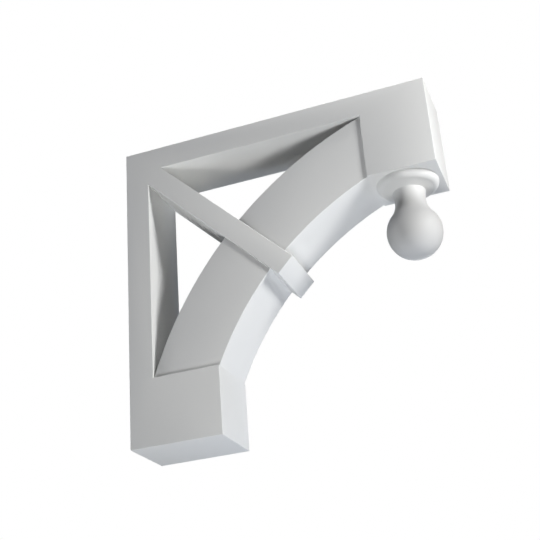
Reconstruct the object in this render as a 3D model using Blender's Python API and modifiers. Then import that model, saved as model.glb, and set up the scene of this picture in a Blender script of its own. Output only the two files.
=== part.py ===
"""Decorative wall bracket: an L-shaped frame with a curved brace, a diagonal strut and a ball drop.

Units are metres and +Z is up. The origin is the middle of the flat face that goes against the wall.
+X points away from the wall, and the bracket's width runs along Y, the same on both sides of y = 0.
"""
import math

import bmesh
import bpy

# Driving dimensions of the frame
PROJECTION = 0.610
HEIGHT = 0.606
WIDTH = 0.127
LEG_THICKNESS = 0.0474
RAIL_THICKNESS = 0.0462
BLOCK_DEPTH = 0.1765
BLOCK_LENGTH = 0.127

# The strut lies on the 45 degree diagonal, measured from the frame's top corner at the wall
STRUT_WIDTH = 0.0412
STRUT_REACH = 0.4455

# The brace is the band between two arcs that run from block to block, set back from the frame's
# sides. Its ends and edges are tucked a little into the blocks, so that the two solids overlap
BRACE_BACK_RADIUS = 0.714
BRACE_SOFFIT_RADIUS = 0.585
BRACE_SETBACK = 0.004
BRACE_TUCK = 0.0003
BRACE_END_ANGLE = math.radians(0.9)
BRACE_SEGMENTS = 34

# The drop is turned: a cushion-edged collar, a waisted neck and a ball
COLLAR_EDGE_RADIUS = 0.0127
COLLAR_FLAT_RADIUS = 0.0449
COLLAR_EDGE_DEPTH = 0.0010
COLLAR_SLOPE_DEPTH = 0.0057
NECK_TOP_RADIUS = 0.0305
NECK_WAIST_RADIUS = 0.0284
NECK_WAIST_ABOVE_BALL = 0.0638
BALL_RADIUS = 0.0508
BALL_CENTRE_BELOW_BLOCK = 0.1008
DROP_AXIS_FROM_END_FACE = 0.0661
DROP_STEPS = 56
COLLAR_ARC_POINTS = 8
NECK_ARC_POINTS = 6
BALL_ARC_POINTS = 14
JOINT_GAP = 0.0003

# Finish
BODY_COLOUR = (0.78, 0.78, 0.77, 1.0)
BODY_ROUGHNESS = 0.55
DROP_COLOUR = (0.80, 0.80, 0.79, 1.0)
DROP_ROUGHNESS = 0.45
SMOOTH_ANGLE = math.radians(35)
WELD_DISTANCE = 0.00001

TOP = HEIGHT / 2
FOOT = -HEIGHT / 2
END_BLOCK_UNDERSIDE = TOP - BLOCK_DEPTH
END_BLOCK_INNER = PROJECTION - BLOCK_LENGTH
DROP_AXIS_X = PROJECTION - DROP_AXIS_FROM_END_FACE


def clear_scene():
    """Remove every object that the file opened with."""
    for thing in list(bpy.data.objects):
        bpy.data.objects.remove(thing, do_unlink=True)


def make_collection(name):
    collection = bpy.data.collections.new(name)
    bpy.context.scene.collection.children.link(collection)
    return collection


def make_material(name, colour, roughness):
    material = bpy.data.materials.new(name)
    material.use_nodes = True
    shader = material.node_tree.nodes["Principled BSDF"]
    shader.inputs["Base Color"].default_value = colour
    shader.inputs["Roughness"].default_value = roughness
    shader.inputs["Metallic"].default_value = 0.0
    material.diffuse_color = colour
    return material


def mesh_from_outline(name, outline, thickness, collection):
    """Extrude a closed outline of (x, z) points to a mesh of the given thickness across y = 0."""
    curve = bpy.data.curves.new(name, "CURVE")
    curve.dimensions = "2D"
    curve.fill_mode = "BOTH"
    curve.extrude = thickness / 2
    spline = curve.splines.new("POLY")
    spline.points.add(len(outline) - 1)
    for point, (x, z) in zip(spline.points, outline):
        point.co = (x, z, 0.0, 1.0)
    spline.use_cyclic_u = True

    drawn = bpy.data.objects.new(name + "_outline", curve)
    collection.objects.link(drawn)
    drawn.rotation_euler = (math.pi / 2, 0.0, 0.0)
    bpy.context.view_layer.update()
    evaluated = drawn.evaluated_get(bpy.context.evaluated_depsgraph_get())
    mesh = bpy.data.meshes.new_from_object(evaluated)
    solid = bpy.data.objects.new(name, mesh)
    collection.objects.link(solid)
    solid.matrix_world = drawn.matrix_world
    bpy.data.objects.remove(drawn, do_unlink=True)
    weld(mesh)
    return solid


def weld(mesh):
    """Join the loose caps of a filled curve to its walls."""
    work = bmesh.new()
    work.from_mesh(mesh)
    bmesh.ops.remove_doubles(work, verts=work.verts, dist=WELD_DISTANCE)
    bmesh.ops.recalc_face_normals(work, faces=work.faces)
    work.to_mesh(mesh)
    work.free()


def on_diagonal(along, across):
    """Return the (x, z) point this far down the 45 degree diagonal and this far above it."""
    step = math.sqrt(0.5)
    return (along + across) * step, TOP + (across - along) * step


def frame_outline():
    """Return the side outline of wall leg, foot block, strut, top rail and end block."""
    strut_offset = STRUT_WIDTH / math.sqrt(2)
    inner_top = TOP - RAIL_THICKNESS
    block_top = FOOT + BLOCK_LENGTH
    return [
        (0.0, FOOT),
        (BLOCK_DEPTH, FOOT),
        (BLOCK_DEPTH, block_top),
        (LEG_THICKNESS, block_top),
        (LEG_THICKNESS, TOP - LEG_THICKNESS - strut_offset),
        on_diagonal(STRUT_REACH, -STRUT_WIDTH / 2),
        on_diagonal(STRUT_REACH, STRUT_WIDTH / 2),
        (RAIL_THICKNESS + strut_offset, inner_top),
        (END_BLOCK_INNER, inner_top),
        (END_BLOCK_INNER, END_BLOCK_UNDERSIDE),
        (PROJECTION, END_BLOCK_UNDERSIDE),
        (PROJECTION, TOP),
        (0.0, TOP),
    ]


def arc_between_blocks(foot_corner, end_corner, radius):
    """Return an arc through two (x, z) corners, run on a little way into the blocks they are on.

    The arc's centre is on the side away from the wall, below the bracket's diagonal.
    """
    chord_x = end_corner[0] - foot_corner[0]
    chord_z = end_corner[1] - foot_corner[1]
    chord = math.hypot(chord_x, chord_z)
    depth = math.sqrt(radius ** 2 - (chord / 2) ** 2)
    centre_x = (foot_corner[0] + end_corner[0]) / 2 + depth * chord_z / chord
    centre_z = (foot_corner[1] + end_corner[1]) / 2 - depth * chord_x / chord
    first = math.atan2(foot_corner[1] - centre_z, foot_corner[0] - centre_x) + BRACE_END_ANGLE
    last = math.atan2(end_corner[1] - centre_z, end_corner[0] - centre_x) - BRACE_END_ANGLE
    points = []
    for index in range(BRACE_SEGMENTS + 1):
        angle = first + (last - first) * index / BRACE_SEGMENTS
        points.append((centre_x + radius * math.cos(angle), centre_z + radius * math.sin(angle)))
    return points


def brace_outline():
    """Return the side outline of the curved brace, with its ends inside the two blocks."""
    block_top = FOOT + BLOCK_LENGTH
    back = arc_between_blocks(
        (LEG_THICKNESS - BRACE_TUCK, block_top),
        (END_BLOCK_INNER, TOP - RAIL_THICKNESS + BRACE_TUCK),
        BRACE_BACK_RADIUS,
    )
    soffit = arc_between_blocks(
        (BLOCK_DEPTH - BRACE_TUCK, block_top),
        (END_BLOCK_INNER, END_BLOCK_UNDERSIDE + BRACE_TUCK),
        BRACE_SOFFIT_RADIUS,
    )
    return back + soffit[::-1]


def unite(target, addition):
    modifier = target.modifiers.new("union", "BOOLEAN")
    modifier.operation = "UNION"
    modifier.solver = "EXACT"
    modifier.object = addition


def hide_cutter(cutter):
    cutter.hide_render = True
    cutter.display_type = "WIRE"


def make_body(parts, cutters):
    """Build the one-piece moulding: the frame with its strut, united with the curved brace."""
    body = mesh_from_outline("bracket_body", frame_outline(), WIDTH, parts)
    brace_width = WIDTH - 2 * BRACE_SETBACK
    brace = mesh_from_outline("brace_band", brace_outline(), brace_width, cutters)
    hide_cutter(brace)
    unite(body, brace)
    body.data.set_sharp_from_angle(angle=SMOOTH_ANGLE)
    body.data.materials.append(make_material("moulded_body", BODY_COLOUR, BODY_ROUGHNESS))
    return body


def arc_points(centre, radius, start, end, count):
    """Return count points along a circular arc in the (radius, height) plane, ends included."""
    points = []
    for index in range(count):
        angle = start + (end - start) * index / (count - 1)
        points.append((centre[0] + radius * math.cos(angle), centre[1] + radius * math.sin(angle)))
    return points


def neck_arc():
    """Return the neck's hollow side, from the collar down to where it runs into the ball.

    The hollow is one arc through the neck's top edge with its innermost point at the waist. It ends
    where it meets the ball.
    """
    collar_bottom = -COLLAR_EDGE_DEPTH - COLLAR_EDGE_RADIUS - COLLAR_SLOPE_DEPTH
    waist = NECK_WAIST_ABOVE_BALL - BALL_CENTRE_BELOW_BLOCK
    rise = collar_bottom - waist
    widening = NECK_TOP_RADIUS - NECK_WAIST_RADIUS
    radius = (rise ** 2 + widening ** 2) / (2 * widening)
    top_angle = math.pi - math.asin(rise / radius)
    centre = (NECK_WAIST_RADIUS + radius, waist)
    upper = arc_points(centre, radius, top_angle, math.pi, NECK_ARC_POINTS)
    return upper + fillet_into_ball(waist)


def fillet_into_ball(waist):
    """Return the arc from the neck's waist that turns outwards until it is tangent to the ball."""
    ball_height = waist + BALL_CENTRE_BELOW_BLOCK
    reach = NECK_WAIST_RADIUS ** 2 + ball_height ** 2 - BALL_RADIUS ** 2
    radius = reach / (2 * (BALL_RADIUS - NECK_WAIST_RADIUS))
    centre = (NECK_WAIST_RADIUS + radius, waist)
    end_angle = math.pi + math.atan2(ball_height, centre[0])
    return arc_points(centre, radius, math.pi, end_angle, NECK_ARC_POINTS)[1:]


def drop_profile():
    """Return the drop's outer side as (radius, height) points, top to bottom, block at height 0."""
    edge_centre = (COLLAR_FLAT_RADIUS, -COLLAR_EDGE_DEPTH)
    rim_start = math.asin((COLLAR_EDGE_DEPTH - JOINT_GAP) / COLLAR_EDGE_RADIUS)
    rim = arc_points(edge_centre, COLLAR_EDGE_RADIUS, rim_start, -math.pi / 2, COLLAR_ARC_POINTS)
    neck = neck_arc()
    ball_start = math.atan2(neck[-1][1] + BALL_CENTRE_BELOW_BLOCK, neck[-1][0])
    ball_centre = (0.0, -BALL_CENTRE_BELOW_BLOCK)
    ball = arc_points(ball_centre, BALL_RADIUS, ball_start, -math.pi / 2, BALL_ARC_POINTS)
    return [(0.0, -JOINT_GAP)] + rim + neck + ball[1:-1] + [(0.0, ball[-1][1])]


def make_drop(parts):
    """Turn the drop about its own axis, and hang it under the end block, midway in its width."""
    profile = drop_profile()
    mesh = bpy.data.meshes.new("ball_drop")
    corners = [(radius, 0.0, height) for radius, height in profile]
    edges = [(index, index + 1) for index in range(len(corners) - 1)]
    mesh.from_pydata(corners, edges, [])
    drop = bpy.data.objects.new("ball_drop", mesh)
    parts.objects.link(drop)
    drop.location = (DROP_AXIS_X, 0.0, END_BLOCK_UNDERSIDE)
    screw = drop.modifiers.new("turning", "SCREW")
    screw.axis = "Z"
    screw.steps = DROP_STEPS
    screw.render_steps = DROP_STEPS
    screw.use_merge_vertices = True
    screw.merge_threshold = WELD_DISTANCE
    screw.use_smooth_shade = True
    mesh.materials.append(make_material("moulded_drop", DROP_COLOUR, DROP_ROUGHNESS))
    return drop


def main():
    clear_scene()
    parts = make_collection("decorative_bracket")
    cutters = make_collection("construction")
    make_body(parts, cutters)
    make_drop(parts)


main()
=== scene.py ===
"""Looks of a white moulded gable bracket with a ball drop, in a plain pale studio.

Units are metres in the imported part's frame: x = 0 is the flat face that goes against the wall, +X
points away from it, Y runs across the bracket's width and +Z is up.
"""

import logging
import math
from dataclasses import dataclass, field
from enum import Enum
from typing import Callable, Iterable, Sequence

import bmesh
import bpy
from mathutils import Matrix, Vector

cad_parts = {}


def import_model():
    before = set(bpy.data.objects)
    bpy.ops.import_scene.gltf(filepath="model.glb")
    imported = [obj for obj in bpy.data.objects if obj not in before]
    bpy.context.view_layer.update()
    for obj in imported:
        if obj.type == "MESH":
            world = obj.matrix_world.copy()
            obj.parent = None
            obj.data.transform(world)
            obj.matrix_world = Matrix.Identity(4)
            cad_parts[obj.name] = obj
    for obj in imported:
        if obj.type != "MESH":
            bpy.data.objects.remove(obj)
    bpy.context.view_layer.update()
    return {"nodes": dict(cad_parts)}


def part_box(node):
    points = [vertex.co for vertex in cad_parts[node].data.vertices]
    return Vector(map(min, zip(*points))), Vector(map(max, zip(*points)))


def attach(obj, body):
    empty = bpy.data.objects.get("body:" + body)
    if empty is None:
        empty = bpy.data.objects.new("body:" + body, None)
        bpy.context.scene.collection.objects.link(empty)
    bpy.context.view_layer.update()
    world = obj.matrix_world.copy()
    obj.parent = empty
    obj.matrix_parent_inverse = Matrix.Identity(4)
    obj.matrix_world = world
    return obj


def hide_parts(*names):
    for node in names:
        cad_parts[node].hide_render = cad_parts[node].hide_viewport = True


LOG = logging.getLogger("bracket")
BODY_NODE = "bracket_body"
DROP_NODE = "ball_drop"
ROOT_BODY = "root"
MILLIMETRE = 0.001
ACROSS = Vector((0.0, 1.0, 0.0))
CUT_TOLERANCE = 0.01 * MILLIMETRE
TURNING_WELD = 0.02 * MILLIMETRE
MOULDING_WELD = 0.1 * MILLIMETRE
FACING_LIMIT = 0.9
FLAT_ANGLE = math.radians(0.1)
ROUNDED_FROM_ANGLE = math.radians(12)
MOULDING_SMOOTH_ANGLE = math.radians(35)
TURNING_SMOOTH_ANGLE = math.radians(40)
Point = tuple[float, float]


class Slot(Enum):
    """The record's material slots."""

    BODY = "body_primer"
    DROP = "drop_primer"


class Side(Enum):
    """A side of the bracket's width, by the sign of Y."""

    NEAR = -1
    FAR = 1


def linear(hex_colour: str) -> tuple[float, float, float, float]:
    """Turn an sRGB hex colour to the linear colour that shaders use.

    Args:
        hex_colour: six hex digits after a hash sign.

    Returns:
        Red, green, blue and an alpha of one.
    """
    levels = [int(hex_colour[start:start + 2], 16) / 255 for start in (1, 3, 5)]
    red, green, blue = [
        level / 12.92 if level <= 0.04045 else ((level + 0.055) / 1.055) ** 2.4
        for level in levels
    ]
    return red, green, blue, 1.0


def add_node(tree: bpy.types.NodeTree, kind: str, settings: dict | None = None,
             links: dict | None = None) -> bpy.types.Node:
    """Add a node with its settings and links.

    Args:
        tree: the node tree that gets the node.
        kind: the node's type name.
        settings: attribute names, or input names or numbers, with their values.
        links: input names or numbers, with the output socket that feeds each.

    Returns:
        The new node.
    """
    node = tree.nodes.new(kind)
    for key, value in (settings or {}).items():
        if isinstance(key, str) and hasattr(node, key):
            setattr(node, key, value)
        else:
            node.inputs[key].default_value = value
    for key, socket in (links or {}).items():
        tree.links.new(socket, node.inputs[key])
    return node


def deselect_all() -> None:
    """Leave nothing selected and no object active in edit mode."""
    if bpy.context.object is not None and bpy.context.object.mode != "OBJECT":
        bpy.ops.object.mode_set(mode="OBJECT")
    bpy.ops.object.select_all(action="DESELECT")


def make_active(piece: bpy.types.Object) -> None:
    """Select one object alone and make it active."""
    deselect_all()
    piece.select_set(True)
    bpy.context.view_layer.objects.active = piece


def apply_place(piece: bpy.types.Object) -> None:
    """Put an object's place, turn and size into its mesh."""
    make_active(piece)
    bpy.ops.object.transform_apply(location=True, rotation=True, scale=True)


def edit(piece: bpy.types.Object, mode: str = "FACE") -> None:
    """Open a piece in edit mode with nothing selected.

    Args:
        piece: the mesh object to edit.
        mode: VERT, EDGE or FACE selection.
    """
    make_active(piece)
    bpy.ops.object.mode_set(mode="EDIT")
    bpy.ops.mesh.select_mode(type=mode)
    bpy.ops.mesh.select_all(action="DESELECT")


def select_faces(piece: bpy.types.Object, wanted: Callable[[Vector, Vector], bool]) -> None:
    """Select the faces of the piece in edit mode that a test picks.

    Args:
        piece: the object in edit mode.
        wanted: a test of a face's centre and normal.
    """
    mesh = bmesh.from_edit_mesh(piece.data)
    for face in mesh.faces:
        face.select_set(wanted(face.calc_center_median(), face.normal))
    bmesh.update_edit_mesh(piece.data)


def select_edges(piece: bpy.types.Object,
                 wanted: Callable[[bmesh.types.BMEdge], bool]) -> None:
    """Select the edges of the piece in edit mode that a test picks.

    Args:
        piece: the object in edit mode.
        wanted: a test of an edge.
    """
    mesh = bmesh.from_edit_mesh(piece.data)
    mesh.normal_update()
    for edge in mesh.edges:
        edge.select_set(wanted(edge))
    bmesh.update_edit_mesh(piece.data)


def finish_edit() -> None:
    """Go back to object mode."""
    bpy.ops.object.mode_set(mode="OBJECT")


def cut_along(piece: bpy.types.Object, point: Vector, normal: Vector,
              where: Callable[[float, float], bool]) -> None:
    """Bisect some faces of the flat side view with a plane.

    Args:
        piece: the object in edit mode.
        point: a point on the plane.
        normal: the plane's normal.
        where: a test of a face's centre, as x and z, that picks the faces to cut.
    """
    select_faces(piece, lambda centre, _: where(centre.x, centre.z))
    bpy.ops.mesh.bisect(plane_co=point, plane_no=normal, threshold=CUT_TOLERANCE)


def everywhere(_x: float, _z: float) -> bool:
    """Pick every face."""
    return True


def circle_centre(first: Point, last: Point, radius: float) -> Point:
    """Find the centre of an arc through two points, below and to the right of their chord.

    Args:
        first: the arc's lower point, as (x, z).
        last: the arc's upper point, as (x, z).
        radius: the arc's radius.

    Returns:
        The centre as (x, z).
    """
    chord = Vector(last) - Vector(first)
    depth = math.sqrt(radius ** 2 - (chord.length / 2) ** 2)
    away = Vector((chord.y, -chord.x)).normalized()
    centre = (Vector(first) + Vector(last)) / 2 + away * depth
    return centre.x, centre.y


@dataclass(frozen=True)
class PrimedPolyurethane:
    """High-density polyurethane, moulded in a smooth mould and factory primed.

    It gives the eye a clean, cool-neutral white with a soft satin sheen. The primer dries in a very
    fine orange peel, slightly glossier in some places than others. With a shade colour given, the
    tone turns to it from one height down to another, as painted shade.
    """

    name: str
    light_hex: str
    dull_hex: str
    roughness_low: float
    roughness_high: float
    cloud_size: float = 140 * MILLIMETRE
    peel_size: float = 2.4 * MILLIMETRE
    peel_height: float = 0.02 * MILLIMETRE
    grain_size: float = 0.5 * MILLIMETRE
    grain_height: float = 0.004 * MILLIMETRE
    ior: float = 1.5
    painted_shade_hex: str | None = None
    unshaded_above: float = 0.0
    fully_shaded_below: float = 0.0

    def build(self) -> bpy.types.Material:
        """Make the material.

        Returns:
            A material on Object coordinates, with a cloudy tone and a fine peel.
        """
        material = bpy.data.materials.new(self.name)
        material.use_nodes = True
        material.diffuse_color = linear(self.light_hex)
        tree = material.node_tree
        shader = tree.nodes["Principled BSDF"]
        shader.inputs["IOR"].default_value = self.ior
        place = add_node(tree, "ShaderNodeTexCoord").outputs["Object"]
        cloud = self.noise(tree, place, self.cloud_size, detail=3.0)
        peel = self.noise(tree, place, self.peel_size, detail=2.0)
        grain = self.noise(tree, place, self.grain_size, detail=1.0)
        tone = add_node(tree, "ShaderNodeMix", {"data_type": "RGBA", 6: linear(self.dull_hex),
                                                7: linear(self.light_hex)}, {0: cloud})
        sheen = add_node(tree, "ShaderNodeMapRange", {"To Min": self.roughness_low,
                                                      "To Max": self.roughness_high},
                         {"Value": cloud})
        peel_bump = add_node(tree, "ShaderNodeBump", {"Distance": self.peel_height},
                             {"Height": peel})
        grain_bump = add_node(tree, "ShaderNodeBump", {"Distance": self.grain_height},
                              {"Height": grain, "Normal": peel_bump.outputs["Normal"]})
        colour = tone.outputs[2]
        # Painted shade: with a shade colour given, the tone turns greyer towards the bottom.
        if self.painted_shade_hex is not None:
            colour = self.paint_shade_below(tree, place, colour)
        tree.links.new(colour, shader.inputs["Base Color"])
        tree.links.new(sheen.outputs["Result"], shader.inputs["Roughness"])
        tree.links.new(grain_bump.outputs["Normal"], shader.inputs["Normal"])
        return material

    def paint_shade_below(self, tree: bpy.types.NodeTree, place: bpy.types.NodeSocket,
                 colour: bpy.types.NodeSocket) -> bpy.types.NodeSocket:
        """Paint shade into the colour, turning it greyer from one height down to another.

        This is painted shade: a tone fitted to the photograph, where the ball is darker than the
        studio's lights alone make it. The photograph doesn't show whether the coat itself is
        greyer there.

        Args:
            tree: the material's node tree.
            place: the coordinates that it reads.
            colour: the colour before the painted shade.

        Returns:
            The colour with the painted shade in it.
        """
        height = add_node(tree, "ShaderNodeSeparateXYZ", {}, {"Vector": place}).outputs["Z"]
        share = add_node(tree, "ShaderNodeMapRange", {
            "interpolation_type": "SMOOTHSTEP", "From Min": self.fully_shaded_below,
            "From Max": self.unshaded_above}, {"Value": height}).outputs["Result"]
        shaded_colour = add_node(tree, "ShaderNodeMix", {"data_type": "RGBA", 6: linear(self.painted_shade_hex)},
                        {0: share, 7: colour})
        return shaded_colour.outputs[2]

    @staticmethod
    def noise(tree: bpy.types.NodeTree, place: bpy.types.NodeSocket, size: float,
              detail: float) -> bpy.types.NodeSocket:
        """Add a noise of a real size.

        Args:
            tree: the material's node tree.
            place: the coordinates that it reads.
            size: the width of one lump, in metres.
            detail: how many finer layers it has.

        Returns:
            The noise's value, from about 0.3 to 0.7.
        """
        noise = add_node(tree, "ShaderNodeTexNoise", {"Scale": 1 / size, "Detail": detail},
                         {"Vector": place})
        return noise.outputs["Fac"]


@dataclass(frozen=True)
class PaleSweep:
    """Matt off-white studio paper. It gives the eye an even, unlit-looking pale ground.

    The paper lies far below the bracket, out of reach of its lights, so it is evenly lit for the
    eye alone and throws back no more light than it gets.
    """

    name: str = "matt_studio_paper"
    hex_colour: str = "#F1F1EF"
    roughness: float = 0.9

    def build(self) -> bpy.types.Material:
        """Make the paper's material."""
        material = bpy.data.materials.new(self.name)
        material.use_nodes = True
        tree = material.node_tree
        shader = tree.nodes["Principled BSDF"]
        shader.inputs["Base Color"].default_value = linear(self.hex_colour)
        shader.inputs["Roughness"].default_value = self.roughness
        path = add_node(tree, "ShaderNodeLightPath")
        even = add_node(tree, "ShaderNodeEmission", {"Color": linear(self.hex_colour)})
        mixed = add_node(tree, "ShaderNodeMixShader", {}, {
            0: path.outputs["Is Camera Ray"], 1: shader.outputs[0], 2: even.outputs[0]})
        tree.links.new(mixed.outputs[0], tree.nodes["Material Output"].inputs["Surface"])
        return material


@dataclass
class BracketMoulding:
    """The one-piece moulding: wall leg, top rail, two blocks, strut and curved brace.

    The three outer sizes come from the frame. The others are the moulding's own, in metres.
    """

    projection: float
    height: float
    width: float
    leg: float = 0.0474
    rail: float = 0.0462
    block_depth: float = 0.1765
    block_length: float = 0.127
    strut_width: float = 0.0412
    strut_reach: float = 0.4455
    back_radius: float = 0.714
    soffit_radius: float = 0.585
    setback: float = 0.0040
    arc_steps: int = 48
    edge_radius: float = 0.0010
    edge_steps: int = 3
    finish: PrimedPolyurethane = field(default_factory=lambda: PrimedPolyurethane(
        "primed_polyurethane_moulding", "#E6E6E4", "#E0E1E0", 0.60, 0.72))

    @property
    def top(self) -> float:
        """Height of the top face."""
        return self.height / 2

    @property
    def foot_top(self) -> float:
        """Height of the foot block's top."""
        return self.block_length - self.height / 2

    @property
    def end_inner(self) -> float:
        """Distance from the wall to the end block."""
        return self.projection - self.block_length

    def above_diagonal(self, x: float, z: float) -> float:
        """Distance of a point above the strut's centre line, negative below it."""
        return (x + z - self.top) * math.sqrt(0.5)

    def along_diagonal(self, x: float, z: float) -> float:
        """Distance of a point along the strut's centre line, from the top corner at the wall."""
        return (x - z + self.top) * math.sqrt(0.5)

    def arcs(self) -> tuple[tuple[Point, Point, float], tuple[Point, Point, float]]:
        """Give the brace's two arcs.

        Returns:
            For the back and for the soffit: foot corner, end corner and radius.
        """
        back = ((self.leg, self.foot_top), (self.end_inner, self.top - self.rail),
                self.back_radius)
        soffit = ((self.block_depth, self.foot_top),
                  (self.end_inner, self.top - self.block_depth), self.soffit_radius)
        return back, soffit

    def inside_rails(self, x: float, z: float) -> bool:
        """Tell whether a point of the side view lies inside leg, rail and both blocks."""
        return self.leg < x < self.end_inner and self.foot_top < z < self.top - self.rail

    def on_strut_line(self, x: float, z: float) -> bool:
        """Tell whether a point inside the rails lies between the strut's two edge lines."""
        between = abs(self.above_diagonal(x, z)) < self.strut_width / 2
        return between and self.inside_rails(x, z)

    def in_strut(self, x: float, z: float) -> bool:
        """Tell whether a point of the side view lies on the strut."""
        return self.on_strut_line(x, z) and self.along_diagonal(x, z) < self.strut_reach

    def in_frame(self, x: float, z: float) -> bool:
        """Tell whether a point of the side view lies on leg, rail, blocks or strut."""
        on_leg_or_rail = x < self.leg or z > self.top - self.rail
        in_foot_block = x < self.block_depth and z < self.foot_top
        in_end_block = x > self.end_inner and z > self.top - self.block_depth
        return on_leg_or_rail or in_foot_block or in_end_block or self.in_strut(x, z)

    def flat_frame(self) -> bpy.types.Object:
        """Draw the frame's side view as a flat sheet, cut from a plane along its edges.

        Returns:
            The sheet, on the near side of the brace.
        """
        deselect_all()
        bpy.ops.mesh.primitive_plane_add(size=1.0, rotation=(math.pi / 2, 0.0, 0.0))
        sheet = bpy.context.object
        sheet.name = "bracket_moulding"
        sheet.scale = (self.projection, self.height, 1.0)
        sheet.location = (self.projection / 2, self.setback - self.width / 2, 0.0)
        apply_place(sheet)
        edit(sheet)
        right = Vector((1.0, 0.0, 0.0))
        up = Vector((0.0, 0.0, 1.0))
        for x in (self.leg, self.block_depth, self.end_inner):
            cut_along(sheet, Vector((x, 0.0, 0.0)), right, everywhere)
        for z in (self.foot_top, self.top - self.rail, self.top - self.block_depth):
            cut_along(sheet, Vector((0.0, 0.0, z)), up, everywhere)
        self.cut_strut_edges(sheet)
        self.cut_across_strut(sheet)
        select_faces(sheet, lambda centre, _: not self.in_frame(centre.x, centre.z))
        bpy.ops.mesh.delete(type="FACE")
        finish_edit()
        return sheet

    def cut_strut_edges(self, sheet: bpy.types.Object) -> None:
        """Cut a flat sheet along both long edges of the strut, inside the rails."""
        across = Vector((1.0, 0.0, 1.0)).normalized()
        corner = Vector((0.0, 0.0, self.top))
        for side in (-1, 1):
            cut_along(sheet, corner + across * side * self.strut_width / 2, across,
                      self.inside_rails)

    def cut_across_strut(self, sheet: bpy.types.Object) -> None:
        """Cut the strut where it ends, and where the brace's arcs cross its edges."""
        corner = Vector((0.0, 0.0, self.top))
        down = Vector((1.0, 0.0, -1.0)).normalized()
        cut_along(sheet, corner + down * self.strut_reach, down, self.on_strut_line)
        for arc in self.arcs():
            lower, upper = [self.crossing(arc, side) for side in (-1, 1)]
            chord = upper - lower
            cut_along(sheet, lower, Vector((chord.z, 0.0, -chord.x)), self.on_strut_line)

    def crossing(self, arc: tuple[Point, Point, float], side: int) -> Vector:
        """Find where an arc of the brace crosses an edge of the strut.

        Args:
            arc: the arc's corners and radius.
            side: -1 for the strut's lower edge, 1 for its upper edge.

        Returns:
            The crossing, at y = 0.
        """
        centre = Vector(circle_centre(*arc))
        offset = side * self.strut_width / 2
        away = offset - self.above_diagonal(centre.x, centre.y)
        back_along = math.sqrt(arc[2] ** 2 - away ** 2)
        along = self.along_diagonal(centre.x, centre.y) - back_along
        half = math.sqrt(0.5)
        return Vector(((along + offset) * half, 0.0, self.top + (offset - along) * half))

    def swept_edge(self, arc: tuple[Point, Point, float]) -> bpy.types.Object:
        """Spin one vertex from the foot block's corner to the end block's corner.

        Args:
            arc: the arc's corners and radius.

        Returns:
            A chain of edges along the arc.
        """
        first, last, _ = arc
        centre = Vector(circle_centre(*arc))
        start = Vector(first) - centre
        end = Vector(last) - centre
        turn = math.atan2(start.y, start.x) - math.atan2(end.y, end.x)
        y = self.setback - self.width / 2
        deselect_all()
        bpy.ops.mesh.primitive_plane_add(size=MILLIMETRE, location=(first[0], y, first[1]))
        chain = bpy.context.object
        apply_place(chain)
        edit(chain, "VERT")
        bpy.ops.mesh.select_all(action="SELECT")
        bpy.ops.mesh.merge(type="CENTER")
        bpy.ops.mesh.select_all(action="SELECT")
        bpy.ops.mesh.spin(steps=self.arc_steps, angle=turn, center=(centre.x, y, centre.y),
                          axis=-ACROSS)
        finish_edit()
        return chain

    def flat_brace(self) -> bpy.types.Object:
        """Bridge the brace's two arcs to a flat band, with the strut's crossing left out.

        Returns:
            The band, on the same plane as the flat frame.
        """
        back, soffit = [self.swept_edge(arc) for arc in self.arcs()]
        make_active(back)
        soffit.select_set(True)
        bpy.ops.object.join()
        edit(back, "EDGE")
        bpy.ops.mesh.select_all(action="SELECT")
        bpy.ops.mesh.bridge_edge_loops()
        bpy.ops.mesh.select_mode(type="FACE")
        self.cut_strut_edges(back)
        select_faces(back, lambda centre, _: self.in_strut(centre.x, centre.z))
        bpy.ops.mesh.delete(type="FACE")
        finish_edit()
        return back

    def build(self) -> bpy.types.Object:
        """Model the moulding.

        Returns:
            The finished piece, riding on the part's body in place of its plain solid.
        """
        piece = self.flat_frame()
        brace = self.flat_brace()
        make_active(piece)
        brace.select_set(True)
        bpy.ops.object.join()
        self.give_depth(piece)
        self.soften_edges(piece)
        piece.data.materials.append(self.finish.build())
        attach(piece, ROOT_BODY)
        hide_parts(BODY_NODE)
        return piece

    def give_depth(self, piece: bpy.types.Object) -> None:
        """Extrude the flat side view to the brace's width, and the frame's faces further out.

        Args:
            piece: the flat side view of frame and brace.
        """
        edit(piece)
        bpy.ops.mesh.select_all(action="SELECT")
        bpy.ops.mesh.remove_doubles(threshold=MOULDING_WELD)
        bpy.ops.mesh.extrude_region_move(
            TRANSFORM_OT_translate={"value": ACROSS * (self.width - 2 * self.setback)})
        bpy.ops.mesh.select_all(action="SELECT")
        bpy.ops.mesh.normals_make_consistent(inside=False)
        for side in Side:
            facing = ACROSS * side.value
            select_faces(piece, lambda centre, normal: normal.dot(facing) > FACING_LIMIT
                         and self.in_frame(centre.x, centre.z))
            bpy.ops.mesh.extrude_region_move(
                TRANSFORM_OT_translate={"value": facing * self.setback})
        bpy.ops.mesh.select_all(action="SELECT")
        bpy.ops.mesh.dissolve_limited(angle_limit=FLAT_ANGLE)
        bpy.ops.mesh.normals_make_consistent(inside=False)
        finish_edit()

    def soften_edges(self, piece: bpy.types.Object) -> None:
        """Round every outer edge and corner by the moulding's small radius, and shade it smooth.

        Args:
            piece: the moulding with sharp edges.
        """
        edit(piece, "EDGE")
        select_edges(piece, lambda edge: edge.is_convex
                     and edge.calc_face_angle() > ROUNDED_FROM_ANGLE)
        bpy.ops.mesh.bevel(offset=self.edge_radius, segments=self.edge_steps, affect="EDGES",
                           clamp_overlap=True)
        finish_edit()
        bpy.ops.object.shade_smooth_by_angle(angle=MOULDING_SMOOTH_ANGLE)


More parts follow.
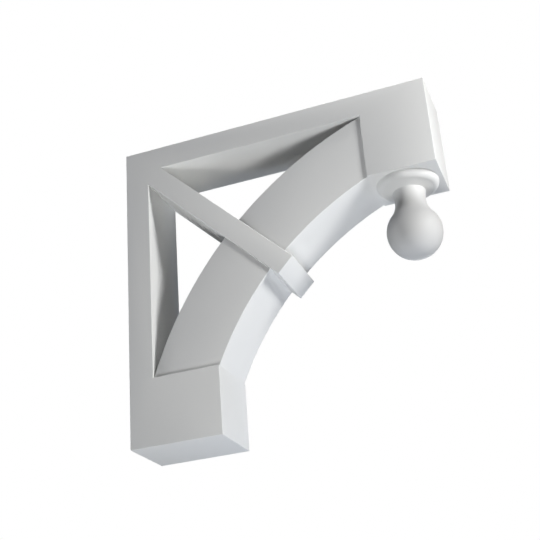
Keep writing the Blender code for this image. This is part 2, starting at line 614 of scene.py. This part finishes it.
@dataclass
class BallDrop:
    """The drop under the end block: a cushion-edged collar, a waisted neck and a ball.

    Heights are measured down from the end block's underside, in metres.
    """

    axis_x: float
    underside: float
    gap: float = 0.00005
    collar_edge: float = 0.0127
    collar_flat: float = 0.0449
    collar_edge_depth: float = 0.0010
    collar_slope: float = 0.0057
    neck_top: float = 0.0305
    neck_waist: float = 0.0284
    waist_depth: float = 0.0370
    ball_radius: float = 0.0508
    ball_depth: float = 0.1008
    turns: int = 128
    rim_points: int = 20
    neck_points: int = 14
    ball_points: int = 40
    # Painted shade: the drop's tone turns greyer from a height of 0.126 m down to 0.074 m.
    finish: PrimedPolyurethane = field(default_factory=lambda: PrimedPolyurethane(
        "primed_polyurethane_drop", "#E6E6E4", "#E0E1E0", 0.56, 0.68,
        painted_shade_hex="#C7C7C6", unshaded_above=0.126, fully_shaded_below=0.074))

    def profile(self) -> list[Point]:
        """Work out the turned outline.

        Returns:
            Points as (radius, height), from the top centre to the bottom pole.
        """
        rim_centre = (self.collar_flat, -self.collar_edge_depth)
        rim_top = math.asin((self.collar_edge_depth - self.gap) / self.collar_edge)
        rim = self.arc(rim_centre, self.collar_edge, rim_top, -math.pi / 2,
                       self.rim_points)
        neck = self.neck_side()
        join = math.atan2(neck[-1][1] + self.ball_depth, neck[-1][0])
        ball = self.arc((0.0, -self.ball_depth), self.ball_radius, join, -math.pi / 2,
                        self.ball_points)
        return [(0.0, -self.gap), *rim, *neck, *ball[1:-1], (0.0, ball[-1][1])]

    def neck_side(self) -> list[Point]:
        """Work out the neck's hollow side, from the collar to where it is tangent to the ball."""
        neck_height = -self.collar_edge_depth - self.collar_edge - self.collar_slope
        rise = neck_height + self.waist_depth
        widening = self.neck_top - self.neck_waist
        upper_radius = (rise ** 2 + widening ** 2) / (2 * widening)
        upper = self.arc((self.neck_waist + upper_radius, -self.waist_depth), upper_radius,
                         math.pi - math.asin(rise / upper_radius), math.pi, self.neck_points)
        above_ball = self.ball_depth - self.waist_depth
        reach = self.neck_waist ** 2 + above_ball ** 2 - self.ball_radius ** 2
        lower_radius = reach / (2 * (self.ball_radius - self.neck_waist))
        centre = (self.neck_waist + lower_radius, -self.waist_depth)
        end = math.pi + math.atan2(above_ball, centre[0])
        lower = self.arc(centre, lower_radius, math.pi, end, self.neck_points)
        return upper + lower[1:]

    @staticmethod
    def arc(centre: Point, radius: float, start: float, end: float, count: int) -> list[Point]:
        """Give points along an arc, ends included.

        Args:
            centre: the arc's centre, as (radius, height).
            radius: its radius.
            start: its first angle.
            end: its last angle.
            count: how many points it has.

        Returns:
            The points.
        """
        angles = [start + (end - start) * index / (count - 1) for index in range(count)]
        return [(centre[0] + radius * math.cos(angle), centre[1] + radius * math.sin(angle))
                for angle in angles]

    def build(self) -> bpy.types.Object:
        """Turn the drop like a lathe does: draw its side, then spin it once round.

        Returns:
            The finished piece, riding on the part's body in place of its plain solid.
        """
        side = self.profile()
        axis = Vector((self.axis_x, 0.0, self.underside))
        deselect_all()
        bpy.ops.mesh.primitive_plane_add(size=MILLIMETRE)
        piece = bpy.context.object
        piece.name = "ball_drop_turning"
        piece.location = axis + Vector((side[0][0], 0.0, side[0][1]))
        apply_place(piece)
        edit(piece, "VERT")
        bpy.ops.mesh.select_all(action="SELECT")
        bpy.ops.mesh.merge(type="CENTER")
        bpy.ops.mesh.select_all(action="SELECT")
        for here, there in zip(side[:-1], side[1:]):
            step = Vector((there[0] - here[0], 0.0, there[1] - here[1]))
            bpy.ops.mesh.extrude_region_move(TRANSFORM_OT_translate={"value": step})
        bpy.ops.mesh.select_all(action="SELECT")
        bpy.ops.mesh.spin(steps=self.turns, angle=2 * math.pi, center=axis,
                          axis=(0.0, 0.0, 1.0))
        bpy.ops.mesh.select_all(action="SELECT")
        bpy.ops.mesh.remove_doubles(threshold=TURNING_WELD)
        bpy.ops.mesh.normals_make_consistent(inside=False)
        finish_edit()
        bpy.ops.object.shade_smooth_by_angle(angle=TURNING_SMOOTH_ANGLE)
        piece.data.materials.append(self.finish.build())
        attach(piece, ROOT_BODY)
        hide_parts(DROP_NODE)
        return piece


@dataclass(frozen=True)
class SoftBox:
    """A plain square studio light with a grid in front, aimed at a point of the bracket."""

    name: str
    place: tuple[float, float, float]
    aim: tuple[float, float, float]
    size: float
    watts: float
    hex_colour: str = "#FFFFFF"
    spread_degrees: float = 130.0

    def build(self) -> bpy.types.Object:
        """Add the light."""
        data = bpy.data.lights.new(self.name, "AREA")
        data.shape = "SQUARE"
        data.size = self.size
        data.energy = self.watts
        data.spread = math.radians(self.spread_degrees)
        data.color = linear(self.hex_colour)[:3]
        lamp = bpy.data.objects.new(self.name, data)
        lamp.visible_camera = False
        bpy.context.scene.collection.objects.link(lamp)
        lamp.location = self.place
        direction = Vector(self.aim) - Vector(self.place)
        lamp.rotation_euler = direction.to_track_quat("-Z", "Y").to_euler()
        return lamp


@dataclass(frozen=True)
class PhotoCamera:
    """The photograph's camera, as fitted to the bracket's edges with its main sizes held."""

    eye: tuple[float, float, float] = (0.8208, -1.6757, -0.8171)
    right: tuple[float, float, float] = (0.93536, 0.34639, -0.07153)
    up: tuple[float, float, float] = (0.20914, -0.37857, 0.90163)
    focal_pixels: float = 1042.21
    frame_pixels: float = 540.0
    sensor: float = 36.0
    nearest: float = 0.05
    farthest: float = 200.0

    def build(self) -> bpy.types.Object:
        """Add the camera and make it the scene's own."""
        data = bpy.data.cameras.new("photo_camera")
        data.sensor_fit = "HORIZONTAL"
        data.sensor_width = self.sensor
        data.lens = self.sensor * self.focal_pixels / self.frame_pixels
        data.clip_start = self.nearest
        data.clip_end = self.farthest
        camera = bpy.data.objects.new("photo_camera", data)
        bpy.context.scene.collection.objects.link(camera)
        right = Vector(self.right).normalized()
        back = right.cross(Vector(self.up)).normalized()
        turn = Matrix((right, back.cross(right), back)).transposed()
        camera.matrix_world = Matrix.Translation(self.eye) @ turn.to_4x4()
        bpy.context.scene.camera = camera
        return camera


@dataclass
class Studio:
    """The pale room: a floor far below the bracket, a bright surround and soft lights.

    The lights' places and strengths were fitted to the photograph's tones. The key in front of the
    end block, the wide one below the near side and the one on the wall's side are the strongest. The
    far and top fills are for the far side and the top, which the photograph doesn't show, and the
    far one lifts the deep shadow under the rail a little.
    """

    floor_height: float = -5.0
    floor_size: float = 60.0
    surround: float = 1.0
    ambient: float = 0.004
    ambient_hex: str = "#E0E4FF"
    lights: Sequence[SoftBox] = (
        SoftBox("front_key", (2.034, -0.607, 0.377), (0.3, 0.0, 0.0), 0.42, 16.3),
        SoftBox("low_front", (1.821, -1.505, -1.824), (0.3, 0.0, 0.0), 0.31, 3.8),
        SoftBox("low_side", (0.478, -1.875, -3.368), (0.3, 0.0, 0.0), 0.92, 29.0),
        SoftBox("high_side", (-0.664, -1.149, 2.598), (0.3, 0.0, 0.0), 0.8, 3.4, "#EDF0FF"),
        SoftBox("wall_light", (-3.789, -0.474, 1.818), (0.3, 0.0, 0.0), 0.98, 37.5, "#FBFCFF"),
        SoftBox("low_fill", (0.630, 0.226, -0.806), (0.3, 0.0, 0.0), 0.33, 0.71, "#CFE1FF"),
        SoftBox("low_back", (-1.309, -0.720, -2.427), (0.3, 0.0, 0.0), 1.41, 7.4, "#EDF5FF"),
        SoftBox("far_fill", (0.3, 3.0, 0.0), (0.3, 0.0, 0.0), 1.2, 7.0, spread_degrees=80.0),
        SoftBox("top_fill", (0.3, 0.0, 3.0), (0.3, 0.0, 0.0), 0.8, 9.0, spread_degrees=80.0),
    )

    def build(self) -> None:
        """Add the floor, the surround and the lights."""
        self.add_floor()
        self.add_world()
        for light in self.lights:
            light.build()

    def add_floor(self) -> bpy.types.Object:
        """Add the plain pale floor."""
        deselect_all()
        bpy.ops.mesh.primitive_plane_add(size=self.floor_size)
        floor = bpy.context.object
        floor.name = "studio_floor"
        floor.location = (0.0, 0.0, self.floor_height)
        apply_place(floor)
        floor.data.materials.append(PaleSweep().build())
        return floor

    def add_world(self) -> None:
        """Make the surround white to look at, and a soft even light for the bracket."""
        world = bpy.data.worlds.new("pale_surround")
        world.use_nodes = True
        bpy.context.scene.world = world
        tree = world.node_tree
        tree.nodes.clear()
        seen = add_node(tree, "ShaderNodeBackground", {"Color": linear("#FFFFFF"),
                                                       "Strength": self.surround})
        soft = add_node(tree, "ShaderNodeBackground", {"Color": linear(self.ambient_hex),
                                                       "Strength": self.ambient})
        path = add_node(tree, "ShaderNodeLightPath")
        mixed = add_node(tree, "ShaderNodeMixShader", {}, {
            0: path.outputs["Is Camera Ray"], 1: soft.outputs[0], 2: seen.outputs[0]})
        add_node(tree, "ShaderNodeOutputWorld", {}, {"Surface": mixed.outputs[0]})
        bpy.context.scene.view_settings.view_transform = "Standard"


def main() -> None:
    """Build the bracket's pieces, the studio and the camera."""
    logging.basicConfig(level=logging.INFO, format="%(name)s: %(message)s")
    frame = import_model()
    LOG.info("frame has nodes %s", sorted(frame["nodes"]))
    low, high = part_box(BODY_NODE)
    moulding = BracketMoulding(high.x - low.x, high.z - low.z, high.y - low.y)
    drop_low, drop_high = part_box(DROP_NODE)
    drop = BallDrop((drop_low.x + drop_high.x) / 2, moulding.top - moulding.block_depth)
    for maker in (moulding, drop):
        piece = maker.build()
        LOG.info("%s has %d faces", piece.name, len(piece.data.polygons))
    PhotoCamera().build()
    Studio().build()


if __name__ == "__main__":
    main()
